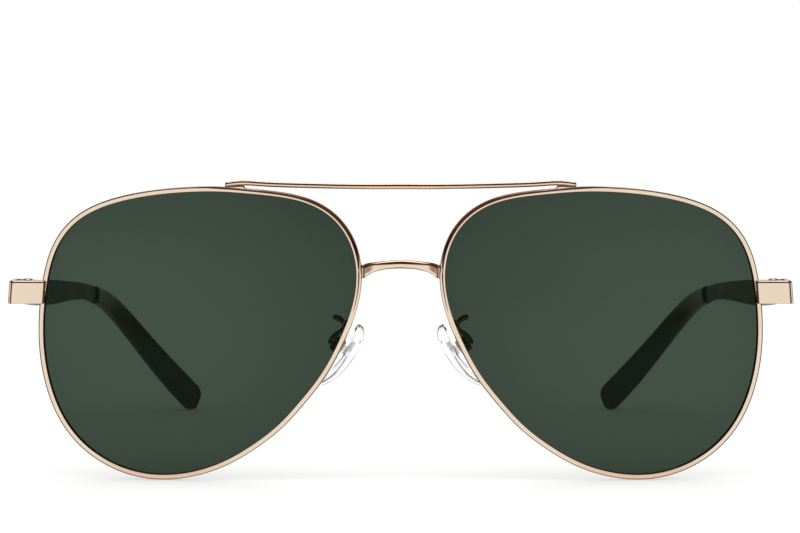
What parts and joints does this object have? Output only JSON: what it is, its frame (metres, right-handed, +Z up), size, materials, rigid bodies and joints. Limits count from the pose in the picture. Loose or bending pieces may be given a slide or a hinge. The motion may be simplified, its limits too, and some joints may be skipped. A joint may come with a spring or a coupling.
{
  "type": "aviator sunglasses",
  "caption": "Double-bridge aviator sunglasses: grooved gold wire rims, grey-green lenses, brow bar, rocking clear nose pads and black temples that fold on screw hinges.",
  "frame": {"origin": "middle of the footprint at rest, on the plane the sunglasses stand on", "axes": "+X towards the wearer's left, the front faces -Y, the open temples run to +Y, +Z up"},
  "size_m": [0.148, 0.1386, 0.0564],
  "materials": {
    "gold_metal": "polished rose gold plating",
    "tinted_lens": "polished, grey-green tint",
    "black_metal": "satin black",
    "black_acetate": "polished black",
    "screw_steel": "machined",
    "clear_silicone": "clear, smooth",
    "pad_carrier": "clear, smooth"
  },
  "bodies": {
    "front": {"bridge": "gold_metal", "brow_bar": "gold_metal", "rim_left": "gold_metal", "rim_right": "gold_metal", "lens_left": "tinted_lens", "lens_right": "tinted_lens", "brow_bar_foot_left": "gold_metal", "brow_bar_foot_right": "gold_metal", "end_piece_left": "gold_metal", "end_piece_right": "gold_metal", "closing_block_upper_left": "gold_metal", "closing_block_upper_right": "gold_metal", "closing_block_lower_left": "gold_metal", "closing_block_lower_right": "gold_metal", "closing_screw_left": "screw_steel", "closing_screw_right": "screw_steel", "front_hinge_left": "gold_metal", "front_hinge_right": "gold_metal", "hinge_screw_left": "screw_steel", "hinge_screw_right": "screw_steel", "pad_arm_left": "gold_metal", "pad_arm_right": "gold_metal", "pad_box_left": "gold_metal", "pad_box_right": "gold_metal", "pad_screw_left": "screw_steel", "pad_screw_right": "screw_steel"},
    "temple_left": {"temple_hinge_left": "gold_metal", "temple_arm_left": "black_metal", "temple_tip_left": "black_acetate"},
    "temple_right": {"temple_hinge_right": "gold_metal", "temple_arm_right": "black_metal", "temple_tip_right": "black_acetate"},
    "nose_pad_left": {"nose_pad_left": "clear_silicone", "pad_insert_left": "pad_carrier"},
    "nose_pad_right": {"nose_pad_right": "clear_silicone", "pad_insert_right": "pad_carrier"}
  },
  "joints": [
    {"name": "temple_fold_left", "type": "hinge", "parent": "front", "child": "temple_left", "pos_m": [0.07095, -0.05548, 0.03515], "axis": [0, 0, 1], "range_deg": [0, 80]},
    {"name": "temple_fold_right", "type": "hinge", "parent": "front", "child": "temple_right", "pos_m": [-0.07095, -0.05548, 0.03515], "axis": [0, 0, -1], "range_deg": [0, 72]},
    {"name": "pad_rock_left", "type": "hinge", "parent": "front", "child": "nose_pad_left", "pos_m": [0.01194, -0.05782, 0.02494], "axis": [0.0258, 0.9966, 0.0789], "range_deg": [-8, 8]},
    {"name": "pad_rock_right", "type": "hinge", "parent": "front", "child": "nose_pad_right", "pos_m": [-0.01194, -0.05782, 0.02494], "axis": [0.0258, -0.9966, -0.0789], "range_deg": [-8, 8]}
  ]
}
